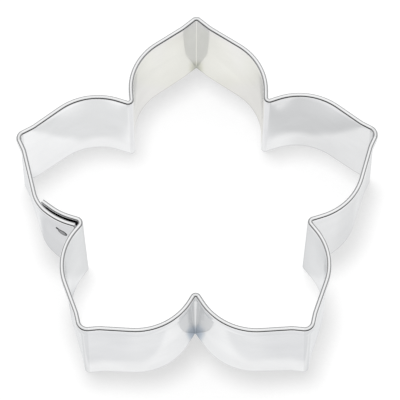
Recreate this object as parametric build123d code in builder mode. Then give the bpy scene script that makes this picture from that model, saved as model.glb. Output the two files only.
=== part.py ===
from build123d import *
import os
from math import cos, radians, sin, tan

# A five-petalled flower pastry cutter, bent from one strip of bright tinplate. The strip's two
# ends lap beside a notch, where two spot welds close the ring. Nothing covers it: dough is cut by
# the plain lower edge and pushed out from above by hand.
# Lengths are millimetres. The cutter stands on its cutting edge at Z = 0, with its folded hem at
# the top. +Y points along the petal that has no petal opposite, and +X is to the right, seen from
# above. The outline below is the inner face of the wall, and the hem is folded to the outside.

# The strip
sheet_thickness = 0.3
cutter_depth = 25.4
hem_depth = 3.2
hem_gap = 0.5

# A petal. Its side leaves the notch on a short straight run, which leans away from the petal's
# axis, bends over the shoulder into a straight flank, and flares out a little before the tip
petal_count = 5
notch_reach = 27.15
run_length = 1.3
run_lean = 2.0
flank_angle = 56.5
flare_half_width = 3.0
tip_angle = 48.0

# The bends of the wall's inner face, and of the hem's outer face at a notch
tip_bend_radius = 1.4
flare_bend_radius = 8.0
shoulder_bend_radius = 14.3
notch_rim_radius = 1.0

# The lap, on the petal to the left and beside its lower notch
seam_petal = 1
lap_gap = 0.35
lap_turn = 20.0
inner_end_flat = 0.8
outer_end_gap = 0.3
return_bend_share = 0.9

# The spot welds, a third and about seven tenths of the way up the plain wall below the hem
weld_diameter = 2.0
upper_weld_height = 15.8
upper_weld_from_end = 4.7
lower_weld_height = 7.4
lower_weld_from_end = 2.2

# Worked out from the sizes above
hem_thickness = 2 * sheet_thickness + hem_gap
hem_radius = hem_thickness / 2
notch_bend_radius = hem_thickness + notch_rim_radius
petal_step = 360 / petal_count
lap_spread = hem_thickness + lap_gap
notch_angle = petal_step / 2 - run_lean
shoulder_turn = flank_angle + run_lean
notch_tangent = notch_bend_radius / tan(radians(notch_angle))
shoulder_tangent = shoulder_bend_radius * tan(radians(shoulder_turn / 2))

# The corners of half a petal, each as a reach along its axis and a distance across from it
notch_corner = Vector(notch_reach, 0).rotate(Axis.Z, petal_step / 2)
side_length = notch_tangent + run_length + shoulder_tangent
shoulder_corner = notch_corner + Vector(side_length, 0).rotate(Axis.Z, run_lean)
shoulder_half_width = shoulder_corner.Y
shoulder_reach = shoulder_corner.X
flare_reach = shoulder_reach + (shoulder_half_width - flare_half_width) / tan(
    radians(flank_angle)
)
tip_reach = flare_reach + flare_half_width / tan(radians(tip_angle))


def on_petal(petal, reach, across):
    """The point at a reach along one petal's axis and across from it. Petal 0 points along +Y."""
    return Vector(reach, across).rotate(Axis.Z, 90 + petal * petal_step)


def notch_before(petal):
    """The corner between a petal and the one before it, going anticlockwise."""
    return Vector(notch_reach, 0).rotate(Axis.Z, 90 + (petal - 0.5) * petal_step)


def entering_side(petal):
    """The corners from a petal's notch up to its tip, going anticlockwise."""
    return [
        notch_before(petal),
        on_petal(petal, shoulder_reach, -shoulder_half_width),
        on_petal(petal, flare_reach, -flare_half_width),
        on_petal(petal, tip_reach, 0),
    ]


def leaving_side(petal):
    """The corners from a petal's tip down to its next notch, without that notch."""
    return [
        on_petal(petal, flare_reach, flare_half_width),
        on_petal(petal, shoulder_reach, shoulder_half_width),
    ]


entering_radii = [notch_bend_radius, shoulder_bend_radius, flare_bend_radius, tip_bend_radius]
leaving_radii = [flare_bend_radius, shoulder_bend_radius]

# The whole flower without its lap, whose middle of reach becomes the part's origin
flower_corners = []
flower_radii = []
for petal in range(petal_count):
    flower_corners += entering_side(petal) + leaving_side(petal)
    flower_radii += entering_radii + leaving_radii

with BuildSketch() as flower:
    with BuildLine():
        FilletPolyline(*flower_corners, radius=flower_radii, close=True)
    make_face()

ground = Plane(origin=-flower.sketch.bounding_box().center())

# The seam's side of its petal, from the shoulder's corner down to the notch
seam_shoulder = leaving_side(seam_petal)[-1]
seam_notch = notch_before(seam_petal + 1)
run_direction = (seam_notch - seam_shoulder).normalized()
outward = run_direction.rotate(Axis.Z, -90)
shoulder_arc_end = seam_shoulder + run_direction * shoulder_tangent
shoulder_middle = shoulder_arc_end - outward * shoulder_bend_radius

# The inner end follows the flower's line round the first part of the shoulder, then runs flat
inner_tangent = shoulder_bend_radius * tan(radians(lap_turn / 2))
inner_corner = shoulder_arc_end - run_direction * inner_tangent
lap_direction = run_direction.rotate(Axis.Z, -lap_turn)
inner_end = inner_corner - lap_direction * (inner_tangent + inner_end_flat)

# The outer end lies round the inner end at an even distance. A second bend takes it out there from
# the flank, whose line it meets where the lap's own line crosses it
wide_bend_radius = shoulder_bend_radius + lap_spread
lap_outward = lap_direction.rotate(Axis.Z, -90)
wide_arc_end = shoulder_middle + outward * wide_bend_radius
wide_arc_start = shoulder_middle + lap_outward * wide_bend_radius
wide_tangent = wide_bend_radius * tan(radians(lap_turn / 2))
wide_corner = wide_arc_end - run_direction * wide_tangent
return_turn = shoulder_turn - lap_turn
return_run = (
    shoulder_bend_radius - wide_bend_radius * cos(radians(return_turn))
) / sin(radians(return_turn))
return_corner = wide_arc_start - lap_direction * return_run
return_bend_radius = return_bend_share * return_run / tan(radians(return_turn / 2))

# It stops where its rim would meet the rim of the next petal, less the gap left there
wedge = radians(2 * notch_angle)
outer_setback = (
    hem_thickness + outer_end_gap + (lap_spread + hem_thickness) * cos(wedge)
) / sin(wedge)
outer_end = seam_notch - run_direction * outer_setback + outward * lap_spread

# The strip's line, from its inner end anticlockwise round the flower to its outer end
strip_corners = [inner_end, inner_corner]
strip_radii = [shoulder_bend_radius]
for petal in range(seam_petal + 1, seam_petal + 1 + petal_count):
    strip_corners += entering_side(petal) + leaving_side(petal)
    strip_radii += entering_radii + leaving_radii
strip_corners = strip_corners[:-1] + [return_corner, wide_corner, outer_end]
strip_radii = strip_radii[:-1] + [return_bend_radius, wide_bend_radius]

with BuildLine() as strip_line:
    strip_points = [ground.from_local_coords(corner) for corner in strip_corners]
    FilletPolyline(*strip_points, radius=strip_radii)

strip_path = strip_line.wire()

# The strip's section: a plain wall, turned over outwards at the top and folded down beside itself
start_direction = strip_path % 0
section_plane = Plane(
    origin=strip_path @ 0,
    x_dir=start_direction.rotate(Axis.Z, -90),
    z_dir=-start_direction,
)
hem_top = cutter_depth - hem_radius
flap_face = hem_thickness - sheet_thickness
hem_edge = cutter_depth - hem_depth

with BuildPart() as cutter_band:
    with BuildSketch(section_plane):
        with BuildLine():
            Polyline((sheet_thickness, hem_top), (sheet_thickness, 0), (0, 0), (0, hem_top))
            ThreePointArc((0, hem_top), (hem_radius, cutter_depth), (hem_thickness, hem_top))
            Polyline(
                (hem_thickness, hem_top),
                (hem_thickness, hem_edge),
                (flap_face, hem_edge),
                (flap_face, hem_top),
            )
            ThreePointArc(
                (flap_face, hem_top),
                (hem_radius, cutter_depth - sheet_thickness),
                (sheet_thickness, hem_top),
            )
        make_face()
    sweep(path=strip_path)

cutter_band.part.label = "cutter_band"

# Each weld fills the space between the two walls, from one sheet's middle to the other's, and the
# sheets are cut from it, so it ends on their faces
weld_places = {
    "upper_spot_weld": (upper_weld_height, upper_weld_from_end),
    "lower_spot_weld": (lower_weld_height, lower_weld_from_end),
}
spot_welds = {}

for name, (height, from_end) in weld_places.items():
    weld_share = 1 - from_end / strip_path.length
    weld_direction = strip_path % weld_share
    weld_inward = weld_direction.rotate(Axis.Z, 90)
    weld_start = strip_path @ weld_share - weld_inward * (sheet_thickness / 2)
    with BuildPart() as spot_weld:
        with BuildSketch(Plane(origin=weld_start + Vector(0, 0, height), z_dir=weld_inward)):
            Circle(weld_diameter / 2)
        extrude(amount=lap_spread)
        add(cutter_band.part, mode=Mode.SUBTRACT)
    spot_weld.part.label = name
    spot_welds[name] = spot_weld.part

os.makedirs("parts", exist_ok=True)
export_step(cutter_band.part, "parts/cutter_band.step")
for name, weld in spot_welds.items():
    export_step(weld, f"parts/{name}.step")
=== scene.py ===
import bmesh
import bpy
import numpy as np
from mathutils import Matrix, Vector


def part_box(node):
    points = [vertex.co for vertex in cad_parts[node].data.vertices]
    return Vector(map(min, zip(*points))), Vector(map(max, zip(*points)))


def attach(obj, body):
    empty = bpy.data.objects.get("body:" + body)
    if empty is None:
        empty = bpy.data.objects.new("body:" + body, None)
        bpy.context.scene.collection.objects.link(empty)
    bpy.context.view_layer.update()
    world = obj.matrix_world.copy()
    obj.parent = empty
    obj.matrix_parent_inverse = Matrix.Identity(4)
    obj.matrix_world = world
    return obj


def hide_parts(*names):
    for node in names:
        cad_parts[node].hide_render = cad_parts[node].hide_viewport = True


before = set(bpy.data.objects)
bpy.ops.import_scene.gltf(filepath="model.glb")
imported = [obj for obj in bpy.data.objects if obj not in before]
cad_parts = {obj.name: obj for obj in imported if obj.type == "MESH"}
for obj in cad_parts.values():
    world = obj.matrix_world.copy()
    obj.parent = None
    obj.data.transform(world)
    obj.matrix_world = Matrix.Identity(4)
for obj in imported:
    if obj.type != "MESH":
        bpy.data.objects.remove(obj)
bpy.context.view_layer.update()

# A five-petalled flower pastry cutter on a white table. The strip of tinplate is made again here
# with the small unevenness that the real one has from being bent by hand, and each weld with the
# mark that it leaves. Lengths are metres, written as millimetres times this
mm = 0.001

band_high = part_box("cutter_band")[1]

# The strip. Its upper edge is folded over outwards in a flattened bend, and the flap's lower edge
# is pinched towards the wall
cutter_depth = band_high[2]
sheet_thickness = 0.3 * mm
hem_depth = 3.2 * mm
hem_thickness = 1.25 * mm
hem_pinch = 0.25 * mm
fold_flatness_share = 0.8

# A petal of the regular flower: where its corners stand, along its axis and across from it, on
# the wall's inner face
petal_count = 5
tip_reach = 46.56 * mm
tip_corner_reach = 45.94 * mm
flare_corner_reach = 43.24 * mm
flare_half_width = 3.0 * mm
shoulder_corner_reach = 34.38 * mm
shoulder_half_width = 16.39 * mm
notch_corner_reach = 27.15 * mm
flower_middle = np.array([0, band_high[1] - tip_reach])

# The bends at the rim, where the hem is stiff, and at the cutting edge, petal by petal
flare_bend = 8.0 * mm
shoulder_bend = 14.3 * mm
rim_bends = {
    "tip": np.array([0.4, 1.2, 1.7, 1.5, 1.6]) * mm,
    "notch": np.array([1.5, 1.5, 1.8, 1.4, 1.5]) * mm,
}
edge_bends = {
    "tip": np.array([0.4, 0.8, 0.9, 0.9, 0.8]) * mm,
    "notch": np.array([1.0, 1.0, 1.2, 0.5, 1.0]) * mm,
}

# How far the rim of the real petals stands from the regular flower's at each corner, and how much
# further the cutting edge leans there: outwards and anticlockwise, petal by petal
rim_shifts = {
    "notch": np.array([(0.6, 0), (-0.6, -0.5), (0.5, 0.4), (-0.3, -0.3), (0, -0.3)]) * mm,
    "entering": np.array([(0.1, 0), (-0.7, 0.1), (0.1, 0.2), (0.1, -0.9), (-0.4, 0.3)]) * mm,
    "tip": np.array([(0.5, 0.1), (-0.7, 0.3), (0.3, 0), (-0.1, -0.4), (0, 0.9)]) * mm,
    "leaving": np.array([(0, -0.2), (0.1, 0.2), (0.2, 0.7), (-0.6, -0.6), (0.3, 0.5)]) * mm,
}
edge_leans = {
    "notch": np.array([(0, 0), (0, 0), (0, 0.3), (0, 0), (0, 0)]) * mm,
    "entering": np.array([(0.2, -0.2), (-0.3, 0.1), (-0.9, 1.2), (0, 0.8), (-0.4, 0.3)]) * mm,
    "tip": np.array([(0.7, -0.1), (0, -0.3), (0, 0.7), (0.3, 0.1), (0.1, 0)]) * mm,
    "leaving": np.array([(0.1, 0), (-1.3, -0.4), (0, 0), (0, 0), (-0.3, -0.2)]) * mm,
}
edge_shifts = {corner: rim_shifts[corner] + edge_leans[corner] for corner in rim_shifts}

# The lap, on the left petal beside its lower notch. The gap between its two layers starts at one
# width at the rim and another at the cutting edge, and grows towards the outer end. Up to the
# pinch height it is the cutting edge's
seam_petal = 1
lap_turn = np.radians(20)
inner_end_flat = 2.8 * mm
outer_end_gap = 0.1 * mm
rim_gap = 0.15 * mm
rim_gap_growth = 0.35 * mm
edge_gap = 0.15 * mm
edge_gap_growth = 0.5 * mm
return_bend_share = 0.9
pinch_height = 13.0 * mm

# The spot welds, each with its height, its distance from the outer end and the length of its tail,
# which is where the metal ran. The tail's angle goes from anticlockwise along the strip towards
# the rim
weld_places = {
    "upper_spot_weld": np.array([15.8, 4.7, 0.8]) * mm,
    "lower_spot_weld": np.array([7.4, 2.2, 0.2]) * mm,
}
weld_half_width = 1.3 * mm
weld_half_height = 1.35 * mm
tail_angle = np.radians(150)
tail_spread = np.radians(15)
tail_fade = np.radians(7)

# A weld's mark is a shallow dish in a raised ring. These are how far both stand out, the points of
# its profile from the middle out, as shares of the weld's half size, and the plug's own share
mark_dish = 0.03 * mm
mark_ring = 0.07 * mm
mark_shares = np.array([0, 0.45, 0.75, 0.9, 1])
plug_share = 0.95

# How finely the pieces are divided, which points are one, and which edges stay sharp
run_steps = 8
bend_steps = 16
wall_steps = 16
fold_steps = 14
flap_steps = 4
weld_steps = 120
merge_distance = 0.001 * mm
sharp_angle = np.radians(40)

# How much of the light the tin reflects where it is bright, dull, and seen along its face
bright_tint = (0.83, 0.833, 0.838, 1)
dull_tint = (0.8, 0.803, 0.808, 1)
grazing_tint = (0.85, 0.855, 0.86, 1)

# Painted shade on sharp bends: its tint, and how sharp a bend is, as turn over length, where the
# shade starts and where it is full
bend_shade_tint = (0.72, 0.725, 0.73, 1)
bend_shade_range = (0.5 / mm, 1.5 / mm)

# The foot, scuffed and with painted contact shade: its tint, and how far up the wall it reaches
scuff_and_shade_tint = (0.64, 0.64, 0.64, 1)
scuff_and_shade_height = 0.5 * mm

# The tin's gloss: how rough it is where bright and where dull, and how far its reflections are
# drawn out along the strip
tin_roughness = (0.1, 0.15)
tin_drawing = 0.9

# The tin's clouds and waves: how far they reach along the strip and up it, the levels of noise
# where a bright cloud starts and is full, and how deep the waves are
noise_detail = 3
cloud_reach = np.array([9, 6]) * mm
cloud_levels = (0.35, 0.65)
wave_reach = np.array([3, 30]) * mm
wave_depth = 0.02 * mm

# A weld's scorched metal: its tint and its ring's, the shares of its half size where the ring
# starts and is full, and how rough it is
weld_tint = (0.38, 0.38, 0.39, 1)
weld_ring_tint = (0.12, 0.12, 0.125, 1)
ring_shares = (0.5, 0.85)
weld_roughness = 0.55

# The light of the room: where each glow has its middle, how many degrees from it the glow starts
# and is full, and how bright it is there. The squeeze draws the glows narrower from left to right,
# and the dark strength is what is left outside them
white = (1, 1, 1, 1)
studio_glows = [((0, 0.18, 0.98), 60, 40, 0.72), ((0, 1, 0), 125, 85, 0.33)]
glow_squeeze = (1.7, 1, 1)
dark_strength = 0.03

# The lamp is nearly overhead, and its width is in degrees
lamp_direction = (-0.07, 0.12, 1)
lamp_width = 15
lamp_strength = 1.58

# The table: how pale it is, how strongly it glows, how bright it shows in the tin, and how much of
# what the tin shows of it is that brightness
table_half = 1500 * mm
table_paleness = 0.45
table_glow = 0.59
reflected_strength = 1.16
reflected_share = 0.8

# Painted shade and tint in the tin's reflections: soft patches of the table that only reflections
# show. Each has four sides, left, right, near and far, with the millimetres where it starts and is
# full there, and then the share that it leaves of the light's red, green and blue
painted_reflection_patches = {
    "left_middle": ([(-28.5, -26.5), (4, -4), (-23, -12), (6, 0)], (0.785, 0.79, 0.79)),
    "left_upper": ([(-28.5, -26.5), (-18.5, -23.5), (0, 6), (17.9, 15.9)], (0.785, 0.79, 0.79)),
    "right_middle": ([(-4, 4), (29, 27), (-23, -12), (6, 0)], (0.76, 0.765, 0.77)),
    "right_upper": ([(18.5, 23.5), (29, 27), (0, 6), (17.9, 15.9)], (0.7, 0.705, 0.71)),
    "upper_middle": ([(-19, -14), (24, 19), (0, 6), (19, 14)], (0.88, 0.88, 0.89)),
    "right": ([(21, 27), (70, 65), (-16, -8), (40, 36)], (0.85, 0.85, 0.85)),
    "right_flank": ([(31, 34), (70, 65), (-24, -18), (-10, -16)], (0.87, 0.87, 0.87)),
    "far": ([(-22, -17), (22, 17), (20.5, 21.5), (60, 55)], (0.925, 0.91, 0.875)),
    "far_right": ([(2, 8), (22, 17), (20.5, 21.5), (60, 55)], (0.945, 0.94, 0.93)),
    "tip_corner": ([(-2, -0.6), (2, 0.6), (40.6, 42.2), (60, 55)], (0.9, 0.9, 0.8)),
    "tip": ([(-9, -6), (9, 6), (30, 34), (60, 55)], (1, 1.005, 0.965)),
    "near": ([(-60, -50), (60, 50), (-80, -70), (-43.5, -46)], (0.86, 0.863, 0.87)),
    "near_left": ([(-60, -50), (-14, -20), (-80, -70), (-43.5, -46)], (0.95, 0.95, 0.955)),
    "near_right": ([(14, 20), (60, 50), (-80, -70), (-43.5, -46)], (0.93, 0.932, 0.937)),
    "notch_corner": ([(-1.6, -0.6), (1.6, 0.6), (-34.4, -32.8), (-30, -31)], (0.75, 0.83, 0.92)),
    "left_side": ([(-60, -50), (-26, -27.5), (-44, -41), (-18, -23)], (0.84, 0.845, 0.85)),
    "right_side": ([(26, 27.5), (60, 50), (-44, -41), (-18, -23)], (0.88, 0.885, 0.89)),
    "left_flank": ([(-60, -50), (-38, -41), (-8, -2), (22, 17)], (0.88, 0.885, 0.89)),
    "lap": ([(-60, -50), (-29, -31), (-30, -22), (-1, -6)], (0.75, 0.752, 0.76)),
}

# The shade that reflections show close to the tin's feet: how far it reaches, how open to the sky
# the table is where it starts and where it is full, and the share of the light it leaves
contact_reach = 3.5 * mm
contact_openness = (0.55, 0.15)
contact_tint = (0.36, 0.39, 0.43, 1)
contact_samples = 16

# The camera stands where the photograph was taken from, turned as it was. Its lens and its sensor
# are in millimetres, and it sees what lies between its near and far range
camera_place = Vector((-3.086 * mm, -340.765 * mm, 679.173 * mm))
camera_tilt = np.radians(26.979)
camera_pan = np.radians(-0.3014)
camera_roll = np.radians(0.1329)
camera_lens = 274.0
camera_sensor = 36.0
camera_range = (10 * mm, 10000 * mm)


def petal_point(petal, reach, across, shift):
    """A point at a reach along a petal's axis and across from it, moved outwards and across.

    Petal 0 points along +Y, and across is anticlockwise.
    """
    angle = np.radians(90) + petal * 2 * np.pi / petal_count
    axis = np.array([np.cos(angle), np.sin(angle)])
    side = np.array([-np.sin(angle), np.cos(angle)])
    return flower_middle + (reach + shift[0]) * axis + (across + shift[1]) * side


def entering_side(petal, shifts):
    """The corners from a petal's notch up to its tip, anticlockwise."""
    shift = {corner: moves[petal % petal_count] for corner, moves in shifts.items()}
    return [
        petal_point(petal - 0.5, notch_corner_reach, 0, shift["notch"]),
        petal_point(petal, shoulder_corner_reach, -shoulder_half_width, shift["entering"]),
        petal_point(petal, flare_corner_reach, -flare_half_width, shift["tip"]),
        petal_point(petal, tip_corner_reach, 0, shift["tip"]),
    ]


def leaving_side(petal, shifts):
    """The corners from a petal's tip down to its next notch, without that notch."""
    shift = {corner: moves[petal % petal_count] for corner, moves in shifts.items()}
    return [
        petal_point(petal, flare_corner_reach, flare_half_width, shift["tip"]),
        petal_point(petal, shoulder_corner_reach, shoulder_half_width, shift["leaving"]),
    ]


def turned(direction, angle):
    """A flat direction turned anticlockwise."""
    c, s = np.cos(angle), np.sin(angle)
    return np.array([c * direction[0] - s * direction[1], s * direction[0] + c * direction[1]])


def strip_corners(bends, shifts, spread, growth):
    """The strip's corners and bend radii from its inner end to its outer end, anticlockwise.

    spread is how far the outer end lies outside the inner one where the lap starts, and growth how
    much further out it comes past its bend. It stops where its rim would meet the next petal's.
    """
    flare, shoulder = leaving_side(seam_petal, shifts)
    notch, next_shoulder = entering_side(seam_petal + 1, shifts)[:2]
    run = (notch - shoulder) / np.linalg.norm(notch - shoulder)
    next_run = (next_shoulder - notch) / np.linalg.norm(next_shoulder - notch)
    outward = turned(run, -np.pi / 2)
    flank = (shoulder - flare) / np.linalg.norm(shoulder - flare)
    turn = np.arctan2(flank[0] * run[1] - flank[1] * run[0], flank @ run)

    arc_end = shoulder + run * shoulder_bend * np.tan(turn / 2)
    middle = arc_end - outward * shoulder_bend
    inner_tangent = shoulder_bend * np.tan(lap_turn / 2)
    inner_corner = arc_end - run * inner_tangent
    lap_line = turned(run, -lap_turn)
    inner_end = inner_corner - lap_line * (inner_tangent + inner_end_flat)

    wide_bend = shoulder_bend + spread
    wide_tangent = wide_bend * np.tan(lap_turn / 2)
    wide_corner = middle + outward * (wide_bend + growth) - run * wide_tangent
    wide_start = middle + turned(lap_line, -np.pi / 2) * wide_bend
    return_turn = turn - lap_turn
    back = (shoulder_bend - wide_bend * np.cos(return_turn)) / np.sin(return_turn)
    return_corner = wide_start - lap_line * back
    return_bend = return_bend_share * back / np.tan(return_turn / 2)
    wedge = np.arccos(run @ -next_run)
    widest = rim_gap + rim_gap_growth + 2 * hem_thickness
    room = hem_thickness + outer_end_gap + widest * np.cos(wedge)
    outer_end = notch - run * room / np.sin(wedge) + outward * (spread + growth)

    corners = [inner_end, inner_corner]
    radii = [shoulder_bend]
    for petal in range(seam_petal + 1, seam_petal + 1 + petal_count):
        corners += entering_side(petal, shifts) + leaving_side(petal, shifts)
        notch_bend, tip_bend = (bends[corner][petal % petal_count] for corner in ("notch", "tip"))
        radii += [notch_bend, shoulder_bend, flare_bend, tip_bend, flare_bend, shoulder_bend]
    corners = corners[:-1] + [return_corner, wide_corner, outer_end]
    radii = radii[:-1] + [return_bend, wide_bend]
    return np.array(corners), np.array(radii)


def bent_line(corners, radii):
    """Points and outward directions along straight runs joined by tangent arcs.

    A run from P to Q is P + share (Q - P). An arc of radius r that turns by t from heading h has
    its points at its middle plus or minus r times the outward direction of h + share t, where the
    outward direction of a heading h is (sin h, -cos h).
    """
    runs = np.diff(corners, axis=0)
    along = runs / np.linalg.norm(runs, axis=1)[:, None]
    heading = np.arctan2(along[:, 1], along[:, 0])
    turn = (np.diff(heading) + np.pi) % (2 * np.pi) - np.pi
    reach = radii * np.tan(np.abs(turn) / 2)
    arc_start = corners[1:-1] - along[:-1] * reach[:, None]
    arc_end = corners[1:-1] + along[1:] * reach[:, None]
    run_start = np.concatenate([corners[:1], arc_end])
    run_end = np.concatenate([arc_start, corners[-1:]])

    run_share = (np.arange(run_steps) / run_steps)[None, :, None]
    run_points = run_start[:, None] + run_share * (run_end - run_start)[:, None]
    run_heading = np.repeat(heading[:, None], run_steps, axis=1)

    arc_share = (np.arange(bend_steps) / bend_steps)[None, :]
    arc_heading = heading[:-1, None] + arc_share * turn[:, None]
    side = (np.sign(turn) * radii)[:, None, None]
    outward_start = np.stack([np.sin(heading[:-1]), -np.cos(heading[:-1])], axis=1)
    outward_arc = np.stack([np.sin(arc_heading), -np.cos(arc_heading)], axis=2)
    arc_points = arc_start[:, None] + side * (outward_arc - outward_start[:, None])

    paired_points = np.concatenate([run_points[:-1], arc_points], axis=1).reshape(-1, 2)
    paired_heading = np.concatenate([run_heading[:-1], arc_heading], axis=1).reshape(-1)
    points = np.concatenate([paired_points, run_points[-1], run_end[-1:]])
    headings = np.concatenate([paired_heading, run_heading[-1], heading[-1:]])
    return points, np.stack([np.sin(headings), -np.cos(headings)], axis=1)


def rim_line():
    """The corners and radii of the wall's inner face at the rim, where each layer has a hem."""
    return strip_corners(rim_bends, rim_shifts, hem_thickness + rim_gap, rim_gap_growth)


def edge_line():
    """The same at the cutting edge, where no hem keeps the layers apart."""
    return strip_corners(edge_bends, edge_shifts, sheet_thickness + edge_gap, edge_gap_growth)


def hem_section():
    """The strip's section as a closed loop of (outward, height) points.

    Its middle line goes up the wall, over half of a flattened circle and down the flap, which
    comes towards the wall by the square of the share gone down. The loop lies half a sheet to each
    side of that line.
    """
    half = sheet_thickness / 2
    fold_radius = hem_thickness / 2 - half
    fold_rise = fold_radius * fold_flatness_share
    fold_height = cutter_depth - half - fold_rise
    wall_height = fold_height * np.arange(wall_steps) / wall_steps
    wall_line = np.stack([np.full(wall_steps, half), wall_height], axis=1)
    angle = np.pi * (1 - np.arange(fold_steps) / fold_steps)
    fold_middle = half + fold_radius
    fold = np.stack(
        [fold_middle + fold_radius * np.cos(angle), fold_height + fold_rise * np.sin(angle)],
        axis=1,
    )
    flap_share = np.arange(flap_steps + 1) / flap_steps
    flap_length = fold_height - (cutter_depth - hem_depth)
    flap = np.stack(
        [
            fold_middle + fold_radius - hem_pinch * flap_share**2,
            fold_height - flap_length * flap_share,
        ],
        axis=1,
    )
    middle = np.concatenate([wall_line, fold, flap])
    along = np.gradient(middle, axis=0)
    along /= np.linalg.norm(along, axis=1)[:, None]
    inward = np.stack([-along[:, 1], along[:, 0]], axis=1) * half
    return np.concatenate([middle + inward, (middle - inward)[::-1]])


def wall(heights):
    """The wall's inner face at each station and height, and the outward direction there.

    The wall is ruled: a point at height z stands on the line from the cutting edge's line to the
    rim's line at the same station, at z / depth of the way. Where the outer end laps, that share
    is instead t t (3 - 2 t), with t going from 0 at the height up to which the layers are pinched
    together to 1 at the rim.
    """
    rim, rim_out = bent_line(*rim_line())
    edge, edge_out = bent_line(*edge_line())
    even_rise = (heights / cutter_depth)[None, :, None]
    free = np.clip((heights - pinch_height) / (cutter_depth - pinch_height), 0, 1)
    lap_rise = (free * free * (3 - 2 * free))[None, :, None]
    lap_steps = 2 * run_steps + bend_steps
    lap_share = np.clip((np.arange(len(rim)) - len(rim) + 1 + lap_steps) / bend_steps + 1, 0, 1)
    rise = even_rise + lap_share[:, None, None] * (lap_rise - even_rise)
    face = edge[:, None] + rise * (rim - edge)[:, None]
    outward = edge_out[:, None] + rise * (rim_out - edge_out)[:, None]
    return face, outward / np.linalg.norm(outward, axis=2)[:, :, None]


def lengths(line):
    """How far along a line each of its points is."""
    return np.concatenate([[0], np.cumsum(np.linalg.norm(np.diff(line, axis=0), axis=1))])


def strip_surface(name):
    """The whole strip: its section carried along the line of the wall.

    It also keeps how sharply the strip bends at each station, as turn over length.
    """
    section = hem_section()
    face, outward = wall(section[:, 1])
    flat = face + outward * section[None, :, 0, None]
    height = np.broadcast_to(section[None, :, 1, None], flat.shape[:2] + (1,))
    points = np.concatenate([flat, height], axis=2)
    stations, rows = points.shape[:2]
    along = lengths(face[:, -1])
    along_uv = np.repeat(along[:, None], rows, axis=1)
    across_uv = np.repeat(section[None, :, 1], stations, axis=0)
    piece = grid_piece(name, points, np.stack([along_uv, across_uv], axis=2))
    turn = np.linalg.norm(np.gradient(outward[:, 0], axis=0), axis=1) / np.gradient(along)
    bend = piece.data.attributes.new("bend", "FLOAT", "POINT")
    bend.data.foreach_set("value", np.repeat(turn, rows))
    return piece


def weld_mark(name, height, from_end, tail):
    """A spot weld: a plug through both layers, with a shallow ringed mark on each face.

    Its profile is carried round the weld's middle in an oval. The outer face's mark is drawn out
    into a tail: at an angle a, its radius is the oval's plus the tail's length, which is whole
    near the tail's angle and fades evenly to none where a is the tail's spread away from it.
    """
    levels = np.array([height - weld_half_height, height, height + weld_half_height])
    face, outward = wall(levels)
    before_end = lengths(face[:, 1])[-1] - lengths(face[:, 1])
    station = np.searchsorted(-before_end, -from_end)
    middle = np.append(face[station, 1], height)
    out = np.append(outward[station, 1], 0)
    up = np.append(face[station, 2] - face[station, 0], 2 * weld_half_height)
    up /= np.linalg.norm(up)
    along = np.cross(up, out)
    along /= np.linalg.norm(along)
    out = np.cross(along, up)

    inner_run = face[: 2 * run_steps + bend_steps, 1]
    plug_depth = np.linalg.norm(inner_run - middle[:2], axis=1).min()
    mark_lift = np.array([mark_dish, mark_dish, mark_ring, mark_ring, 0])
    sides = sheet_thickness / 2 - np.array([0, plug_depth])
    lift = np.concatenate([sheet_thickness + mark_lift, sides, -plug_depth - mark_lift[::-1]])
    share = np.concatenate([mark_shares, [plug_share, plug_share], mark_shares[::-1]])
    tail_share = np.concatenate([mark_shares, np.zeros(len(share) - len(mark_shares))])
    angle = 2 * np.pi * np.arange(weld_steps) / weld_steps
    drawn = tail * np.clip((tail_spread - np.abs(angle - tail_angle)) / tail_fade, 0, 1)
    reach = tail_share[:, None] * drawn[None, :]
    points = (
        middle
        + ((reach + weld_half_width * share[:, None]) * np.cos(angle))[:, :, None] * along
        + ((reach + weld_half_height * share[:, None]) * np.sin(angle))[:, :, None] * up
        + lift[:, None, None] * out
    )
    return round_piece(name, points, share)


def add_object(name, data):
    """A new object at the origin, in the scene."""
    piece = bpy.data.objects.new(name, data)
    bpy.context.scene.collection.objects.link(piece)
    return piece


def mapped_mesh(name, points, faces, map_name, uv):
    """A mesh of points and four-sided faces, with a UV map that is given point by point."""
    mesh = bpy.data.meshes.new(name)
    mesh.from_pydata(points.reshape(-1, 3).tolist(), [], faces.tolist())
    layer = mesh.uv_layers.new(name=map_name)
    layer.data.foreach_set("uv", uv.reshape(-1, 2)[faces.reshape(-1)].reshape(-1))
    return mesh


def smooth_piece(name, mesh):
    """A mesh as an object, shaded smooth but for its sharp edges."""
    mesh.shade_smooth()
    mesh.set_sharp_from_angle(angle=sharp_angle)
    mesh.update()
    return add_object(name, mesh)


def round_piece(name, points, share):
    """Rings of points from one pole to the other, closed round and at both poles."""
    rings, steps = points.shape[:2]
    index = np.arange(rings * steps).reshape(rings, steps)
    ahead = np.roll(index, -1, axis=1)
    walls = np.stack([index[:-1], index[1:], ahead[1:], ahead[:-1]], axis=2).reshape(-1, 4)
    uv = np.stack(np.broadcast_arrays(np.arange(steps)[None] / steps, share[:, None]), axis=2)
    mesh = mapped_mesh(name, points, walls, "mark", uv)
    shape = bmesh.new()
    shape.from_mesh(mesh)
    bmesh.ops.remove_doubles(shape, verts=shape.verts, dist=merge_distance)
    shape.to_mesh(mesh)
    shape.free()
    return smooth_piece(name, mesh)


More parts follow.
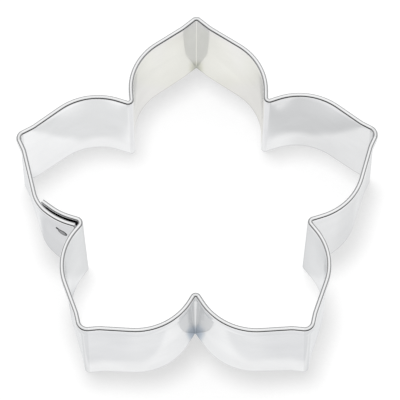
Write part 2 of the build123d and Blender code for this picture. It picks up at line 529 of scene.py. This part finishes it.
def grid_piece(name, points, uv):
    """A closed tube of stations and rows, capped at both ends, as a mesh object.

    Row i of a station and row rows - 1 - i lie on the two sides of the sheet, so a cap is the
    strip of four-sided faces between them.
    """
    stations, rows = points.shape[:2]
    index = np.arange(stations * rows).reshape(stations, rows)
    ahead = np.roll(index, -1, axis=1)
    walls = np.stack([index[:-1], ahead[:-1], ahead[1:], index[1:]], axis=2).reshape(-1, 4)
    pair = np.arange(rows // 2 - 1)
    cap = np.stack([pair, rows - 1 - pair, rows - 2 - pair, pair + 1], axis=1)
    faces = np.concatenate([walls, cap, cap[:, ::-1] + index[-1, 0]])
    return smooth_piece(name, mapped_mesh(name, points, faces, "strip", uv))


def link_all(links, pairs):
    """Joins each output to its input."""
    for output, socket in pairs:
        links.new(output, socket)


def new_material(name):
    """A new material, with its nodes, its links and its shader."""
    material = bpy.data.materials.new(name)
    material.use_nodes = True
    nodes, links = material.node_tree.nodes, material.node_tree.links
    return material, nodes, links, nodes["Principled BSDF"]


def rise_between(nodes, ends, smooth=False):
    """A value taken to 0 at the first end, 1 at the second, and evenly or smoothly between."""
    rise = nodes.new("ShaderNodeMapRange")
    rise.inputs["From Min"].default_value, rise.inputs["From Max"].default_value = ends
    if smooth:
        rise.interpolation_type = "SMOOTHSTEP"
    return rise


def colour_mix(nodes, over, blend="MIX"):
    """A mix that lays one given colour over another, by a factor."""
    mix = nodes.new("ShaderNodeMix")
    mix.data_type = "RGBA"
    mix.blend_type = blend
    mix.inputs["B"].default_value = over
    return mix


def spread_noise(nodes, links, place, reach):
    """Soft noise over a place vector, whose blots are about reach long and high."""
    spread = nodes.new("ShaderNodeMapping")
    spread.inputs["Scale"].default_value = (1 / reach[0], 1 / reach[1], 1)
    noise = nodes.new("ShaderNodeTexNoise")
    noise.inputs["Scale"].default_value = 1
    noise.inputs["Detail"].default_value = noise_detail
    links.new(place, spread.inputs["Vector"])
    links.new(spread.outputs["Vector"], noise.inputs["Vector"])
    return noise.outputs["Fac"]


def tinplate():
    """Bright tin: almost a mirror, drawn out along the strip, with faint clouds and waves.

    It is darker on sharp bends, with painted shade. Its lowest half millimetre is darker, scuffed
    and with painted contact shade, and along there the cut edge shows grey.
    """
    material, nodes, links, shader = new_material("bright_tinplate")
    shader.inputs["Metallic"].default_value = 1
    shader.inputs["Anisotropic"].default_value = tin_drawing
    shader.inputs["Specular Tint"].default_value = grazing_tint
    tangent = nodes.new("ShaderNodeTangent")
    tangent.direction_type = "UV_MAP"
    tangent.uv_map = "strip"
    place = nodes.new("ShaderNodeUVMap")
    place.uv_map = "strip"
    split = nodes.new("ShaderNodeSeparateXYZ")
    clouds = spread_noise(nodes, links, place.outputs["UV"], cloud_reach)
    waves = spread_noise(nodes, links, place.outputs["UV"], wave_reach)

    cloudy = rise_between(nodes, cloud_levels)
    tint = colour_mix(nodes, bright_tint)
    tint.inputs["A"].default_value = dull_tint
    # Painted shade on sharp bends: the tin is tinted darker where the strip turns sharply
    bend = nodes.new("ShaderNodeAttribute")
    bend.attribute_name = "bend"
    bend_shade = rise_between(nodes, bend_shade_range)
    bend_tint = colour_mix(nodes, bend_shade_tint)
    # Painted contact shade and scuffing: the lowest part of the wall is tinted darker
    scuff_and_shade = rise_between(nodes, (scuff_and_shade_height, 0))
    edge_tint = colour_mix(nodes, scuff_and_shade_tint)
    roughness = nodes.new("ShaderNodeMapRange")
    roughness.inputs["To Min"].default_value = tin_roughness[1]
    roughness.inputs["To Max"].default_value = tin_roughness[0]
    bump = nodes.new("ShaderNodeBump")
    bump.inputs["Distance"].default_value = wave_depth
    link_all(
        links,
        [
            (clouds, cloudy.inputs["Value"]),
            (cloudy.outputs["Result"], tint.inputs["Factor"]),
            (cloudy.outputs["Result"], roughness.inputs["Value"]),
            (place.outputs["UV"], split.inputs["Vector"]),
            (split.outputs["Y"], scuff_and_shade.inputs["Value"]),
            (scuff_and_shade.outputs["Result"], edge_tint.inputs["Factor"]),
            (bend.outputs["Fac"], bend_shade.inputs["Value"]),
            (bend_shade.outputs["Result"], bend_tint.inputs["Factor"]),
            (tint.outputs["Result"], bend_tint.inputs["A"]),
            (bend_tint.outputs["Result"], edge_tint.inputs["A"]),
            (waves, bump.inputs["Height"]),
            (edge_tint.outputs["Result"], shader.inputs["Base Color"]),
            (roughness.outputs["Result"], shader.inputs["Roughness"]),
            (tangent.outputs["Tangent"], shader.inputs["Tangent"]),
            (bump.outputs["Normal"], shader.inputs["Normal"]),
        ],
    )
    return material


def scorched_metal():
    """A weld's dull grey skin, nearly black at the ring round it."""
    material, nodes, links, shader = new_material("scorched_metal")
    shader.inputs["Metallic"].default_value = 1
    shader.inputs["Roughness"].default_value = weld_roughness
    place = nodes.new("ShaderNodeUVMap")
    place.uv_map = "mark"
    split = nodes.new("ShaderNodeSeparateXYZ")
    ring = rise_between(nodes, ring_shares)
    tint = colour_mix(nodes, weld_ring_tint)
    tint.inputs["A"].default_value = weld_tint
    link_all(
        links,
        [
            (place.outputs["UV"], split.inputs["Vector"]),
            (split.outputs["Y"], ring.inputs["Value"]),
            (ring.outputs["Result"], tint.inputs["Factor"]),
            (tint.outputs["Result"], shader.inputs["Base Color"]),
        ],
    )
    return material


def painted_reflection_light(nodes, links, split):
    """Painted shade in reflections: the table's white, dimmed inside each soft four-sided patch.

    How far inside a patch a place is, is the product of the smooth rises at its four sides.
    """
    light = None
    for sides, share in painted_reflection_patches.values():
        inside = None
        for axis, (start, full) in zip("XXYY", sides):
            side = rise_between(nodes, (start * mm, full * mm), smooth=True)
            links.new(split.outputs[axis], side.inputs["Value"])
            if inside is None:
                inside = side.outputs["Result"]
                continue
            both = nodes.new("ShaderNodeMath")
            both.operation = "MULTIPLY"
            link_all(links, [(inside, both.inputs[0]), (side.outputs["Result"], both.inputs[1])])
            inside = both.outputs["Value"]
        dim = colour_mix(nodes, (*share, 1), "MULTIPLY")
        dim.inputs["A"].default_value = white
        links.new(inside, dim.inputs["Factor"])
        if light is not None:
            links.new(light, dim.inputs["A"])
        light = dim.outputs["Result"]
    return light


def contact_shade(nodes, links, light):
    """A light on the table taken down close to the tin's feet, and most in its corners.

    It goes by how much of the open sky over a place on the table the tin hides close by.
    """
    openness = nodes.new("ShaderNodeAmbientOcclusion")
    openness.samples = contact_samples
    openness.inputs["Distance"].default_value = contact_reach
    shade = rise_between(nodes, contact_openness, smooth=True)
    dim = colour_mix(nodes, contact_tint, "MULTIPLY")
    link_all(
        links,
        [
            (openness.outputs["AO"], shade.inputs["Value"]),
            (shade.outputs["Result"], dim.inputs["Factor"]),
            (light, dim.inputs["A"]),
        ],
    )
    return dim.outputs["Result"]


def table_top():
    """A white table that keeps the soft shadow, and shows whiter in the tin than to the camera,
    with painted shade in what the tin shows of it.
    """
    mesh = bpy.data.meshes.new("table_top")
    corners = table_half * np.array([(-1, -1, 0), (1, -1, 0), (1, 1, 0), (-1, 1, 0)])
    mesh.from_pydata(corners.tolist(), [], [(0, 1, 2, 3)])
    table = add_object("table_top", mesh)
    material, nodes, links, shader = new_material("white_table")
    shader.inputs["Base Color"].default_value = (table_paleness, table_paleness, table_paleness, 1)
    shader.inputs["Roughness"].default_value = 1
    shader.inputs["Specular IOR Level"].default_value = 0
    shader.inputs["Emission Color"].default_value = white
    shader.inputs["Emission Strength"].default_value = table_glow
    place = nodes.new("ShaderNodeTexCoord")
    split = nodes.new("ShaderNodeSeparateXYZ")
    # Painted shade in reflections: tinted patches and contact shade dim only the light that the tin
    # shows of the table
    patches = painted_reflection_light(nodes, links, split)
    reflected = nodes.new("ShaderNodeEmission")
    reflected.inputs["Strength"].default_value = reflected_strength
    rays = nodes.new("ShaderNodeLightPath")
    share = nodes.new("ShaderNodeMath")
    share.operation = "MULTIPLY"
    share.inputs[1].default_value = reflected_share
    mix = nodes.new("ShaderNodeMixShader")
    link_all(
        links,
        [
            (place.outputs["Object"], split.inputs["Vector"]),
            (contact_shade(nodes, links, patches), reflected.inputs["Color"]),
            (rays.outputs["Is Glossy Ray"], share.inputs[0]),
            (share.outputs["Value"], mix.inputs["Fac"]),
            (shader.outputs["BSDF"], mix.inputs[1]),
            (reflected.outputs["Emission"], mix.inputs[2]),
            (mix.outputs["Shader"], nodes["Material Output"].inputs["Surface"]),
        ],
    )
    mesh.materials.append(material)


def overhead_lamp():
    """A soft lamp nearly overhead, which gives the shadow its near edge but isn't seen in the tin."""
    data = bpy.data.lights.new("overhead_lamp", "SUN")
    data.energy = lamp_strength
    data.angle = np.radians(lamp_width)
    lamp = add_object("overhead_lamp", data)
    lamp.rotation_euler = Vector(lamp_direction).to_track_quat("Z", "Y").to_euler()
    lamp.visible_glossy = False


def studio():
    """The light of the room: a sum of soft glows, each full near its middle.

    A glow goes by the angle between its middle and the direction looked in, once that direction
    is squeezed.
    """
    world = bpy.data.worlds.new("studio")
    bpy.context.scene.world = world
    world.use_nodes = True
    nodes, links = world.node_tree.nodes, world.node_tree.links
    direction = nodes.new("ShaderNodeTexCoord")
    squeeze = nodes.new("ShaderNodeVectorMath")
    squeeze.operation = "MULTIPLY"
    squeeze.inputs[1].default_value = glow_squeeze
    level = nodes.new("ShaderNodeVectorMath")
    level.operation = "NORMALIZE"
    links.new(direction.outputs["Generated"], squeeze.inputs[0])
    links.new(squeeze.outputs["Vector"], level.inputs[0])
    total = None
    for middle, start_angle, full_angle, strength in studio_glows:
        nearness = nodes.new("ShaderNodeVectorMath")
        nearness.operation = "DOT_PRODUCT"
        nearness.inputs[1].default_value = Vector(middle).normalized()
        links.new(level.outputs["Vector"], nearness.inputs[0])
        glow = rise_between(nodes, np.cos(np.radians((start_angle, full_angle))), smooth=True)
        glow.inputs["To Max"].default_value = strength
        links.new(nearness.outputs["Value"], glow.inputs["Value"])
        add = nodes.new("ShaderNodeMath")
        add.operation = "ADD"
        links.new(glow.outputs["Result"], add.inputs[0])
        if total is None:
            add.inputs[1].default_value = dark_strength
        else:
            links.new(total.outputs["Value"], add.inputs[1])
        total = add
    links.new(total.outputs["Value"], nodes["Background"].inputs["Strength"])
    nodes["Background"].inputs["Color"].default_value = white


def photo_camera():
    """A long lens, tilted up from straight down, then panned and rolled a little."""
    data = bpy.data.cameras.new("photo_camera")
    data.sensor_width = camera_sensor
    data.lens = camera_lens
    data.clip_start, data.clip_end = camera_range
    camera = add_object("photo_camera", data)
    turn = (
        Matrix.Rotation(camera_tilt, 4, "X")
        @ Matrix.Rotation(camera_pan, 4, "Y")
        @ Matrix.Rotation(camera_roll, 4, "Z")
    )
    camera.matrix_world = Matrix.Translation(camera_place) @ turn
    bpy.context.scene.camera = camera


photo_camera()
studio()
overhead_lamp()
table_top()

bright_tin = tinplate()
band = strip_surface("tinplate_band")
band.data.materials.append(bright_tin)
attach(band, "root")
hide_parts("cutter_band")
weld_metal = scorched_metal()
for node, (height, from_end, tail) in weld_places.items():
    weld = weld_mark(node.replace("spot_weld", "mark"), height, from_end, tail)
    weld.data.materials.append(weld_metal)
    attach(weld, "root")
    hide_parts(node)

bpy.context.scene.view_settings.view_transform = "Standard"
